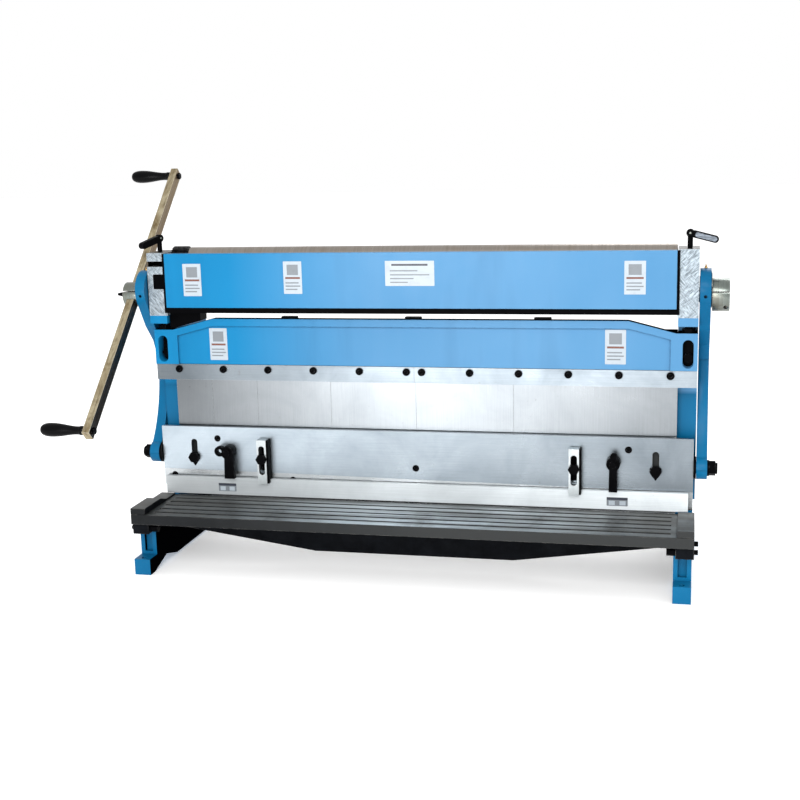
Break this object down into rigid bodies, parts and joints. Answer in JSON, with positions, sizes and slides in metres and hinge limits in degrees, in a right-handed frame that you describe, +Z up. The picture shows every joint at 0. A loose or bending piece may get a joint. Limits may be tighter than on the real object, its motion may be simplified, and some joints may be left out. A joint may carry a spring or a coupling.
{
  "type": "sheet metal brake",
  "caption": "Bench-standing sheet metal brake combined with a shear and slip rolls, worked by a crank, eccentrics and bowed connecting rods.",
  "frame": {"origin": "centre of the rectangle of the foot bolt holes, on the floor plane", "axes": "+X along the machine towards the plain hub end, -Y towards the operator, +Z up"},
  "size_m": [1.666, 0.6712, 1.0278],
  "materials": {
    "blue_paint": "gloss enamel",
    "ground_steel": "surface ground",
    "tool_steel": "ground edge",
    "dark_casting": "planed and oiled",
    "silver_casting": "scraped",
    "roll_steel": "turned",
    "shaft_steel": "turned",
    "crank_steel": "rolled bar",
    "bracket_steel": "milled",
    "gear_iron": "greased",
    "black_oxide": "black oxide",
    "black_paint": "satin black",
    "bronze": "machined bronze",
    "grip_plastic": "moulded"
  },
  "bodies": {
    "base": {"left_side_frame": "blue_paint", "right_side_frame": "blue_paint", "table_bed": "dark_casting", "side_guides": "dark_casting", "lower_blade": "tool_steel", "table_bolts": "black_oxide", "upper_beam": "blue_paint", "beam_end_bolts": "black_oxide", "beam_jack_screws": "black_oxide", "beam_top_plugs": "black_paint", "clamp_strips": "ground_steel", "clamp_screws": "black_oxide", "finger_4in": "ground_steel", "finger_5in": "ground_steel", "finger_8in": "ground_steel", "finger_9in": "ground_steel", "finger_10in": "ground_steel", "finger_16in": "ground_steel", "left_roll_housing": "silver_casting", "right_roll_housing": "silver_casting", "release_cap": "silver_casting", "roll_guard": "blue_paint", "guard_rail": "black_paint", "gear_cover": "black_paint", "rear_tie_bars": "black_paint", "bearing_bushes": "bronze"},
    "crank": {"crankshaft": "shaft_steel", "left_hub": "shaft_steel", "right_hub": "shaft_steel", "hub_screw": "black_oxide", "crank_bar": "crank_steel", "crank_gear": "gear_iron", "grip_spindles": "black_oxide"},
    "upper_grip": {"upper_grip": "grip_plastic"},
    "lower_grip": {"lower_grip": "grip_plastic"},
    "ram": {"moving_beam": "dark_casting", "beam_face_plate": "ground_steel", "v_die": "tool_steel", "upper_blade": "tool_steel", "blade_screws": "black_oxide", "slot_nuts": "black_oxide", "rod_pins": "black_oxide", "rod_nuts": "black_oxide", "left_connecting_rod": "blue_paint", "right_connecting_rod": "blue_paint", "grease_nipples": "bronze", "bracket_guide_bolts": "black_oxide", "cam_bolts": "black_oxide"},
    "hold_down": {"hold_down_bar": "ground_steel", "hold_down_brackets": "bracket_steel"},
    "left_cam": {"left_cam_lever": "black_oxide"},
    "right_cam": {"right_cam_lever": "black_oxide"},
    "left_lever": {"left_roll_lever": "black_oxide"},
    "right_lever": {"right_roll_lever": "black_oxide"},
    "upper_roll": {"upper_roll": "roll_steel", "upper_roll_gear": "gear_iron"},
    "lower_roll": {"lower_roll": "roll_steel", "lower_roll_gear": "gear_iron"},
    "rear_carriage": {"rear_roll_blocks": "roll_steel"},
    "rear_roll": {"rear_roll": "roll_steel"}
  },
  "joints": [
    {"name": "crank_turn", "type": "hinge", "parent": "base", "child": "crank", "pos_m": [0, -0.046, 0.703], "axis": [1, 0, 0], "range_deg": [-90, 10]},
    {"name": "upper_grip_spin", "type": "hinge", "parent": "crank", "child": "upper_grip", "pos_m": [0, 0.26763, 1.00587], "axis": [1, 0, 0], "continuous": true},
    {"name": "lower_grip_spin", "type": "hinge", "parent": "crank", "child": "lower_grip", "pos_m": [0, -0.35963, 0.40013], "axis": [1, 0, 0], "continuous": true},
    {"name": "beam_lift", "type": "slide", "parent": "base", "child": "ram", "axis": [0, 0, 1], "range_m": [-0.0258, 0.003]},
    {"name": "hold_down_slide", "type": "slide", "parent": "ram", "child": "hold_down", "axis": [0, 0, 1], "range_m": [-0.0026, 0.0223]},
    {"name": "left_cam_lever_turn", "type": "hinge", "parent": "ram", "child": "left_cam", "pos_m": [-0.508, -0.07, 0.284], "axis": [0, 1, 0], "range_deg": [0, 100]},
    {"name": "right_cam_lever_turn", "type": "hinge", "parent": "ram", "child": "right_cam", "pos_m": [0.508, -0.07, 0.284], "axis": [0, 1, 0], "range_deg": [-100, 0]},
    {"name": "left_roll_lever_turn", "type": "hinge", "parent": "base", "child": "left_lever", "pos_m": [-0.684, -0.032, 0.8], "axis": [0, 0, 1], "range_deg": [-20, 45]},
    {"name": "right_roll_lever_turn", "type": "hinge", "parent": "base", "child": "right_lever", "pos_m": [0.684, -0.032, 0.8], "axis": [0, 0, 1], "range_deg": [-90, 45]},
    {"name": "upper_roll_spin", "type": "hinge", "parent": "base", "child": "upper_roll", "pos_m": [0, -0.0052, 0.7955], "axis": [1, 0, 0], "range_deg": [-79, 9]},
    {"name": "lower_roll_spin", "type": "hinge", "parent": "base", "child": "lower_roll", "pos_m": [0, -0.0052, 0.738], "axis": [1, 0, 0], "range_deg": [-9, 79]},
    {"name": "rear_roll_lift", "type": "slide", "parent": "base", "child": "rear_carriage", "axis": [0, 0, 1], "range_m": [-0.008, 0.008]},
    {"name": "rear_roll_spin", "type": "hinge", "parent": "rear_carriage", "child": "rear_roll", "pos_m": [0, 0.052, 0.757], "axis": [1, 0, 0], "continuous": true}
  ],
  "couplings": [
    {"joint": "beam_lift", "follows": "crank_turn", "m_per_rad": 0.01629},
    {"joint": "hold_down_slide", "follows": "crank_turn", "m_per_rad": -0.01406},
    {"joint": "upper_roll_spin", "follows": "crank_turn", "ratio": 0.86957},
    {"joint": "lower_roll_spin", "follows": "crank_turn", "ratio": -0.86957}
  ]
}
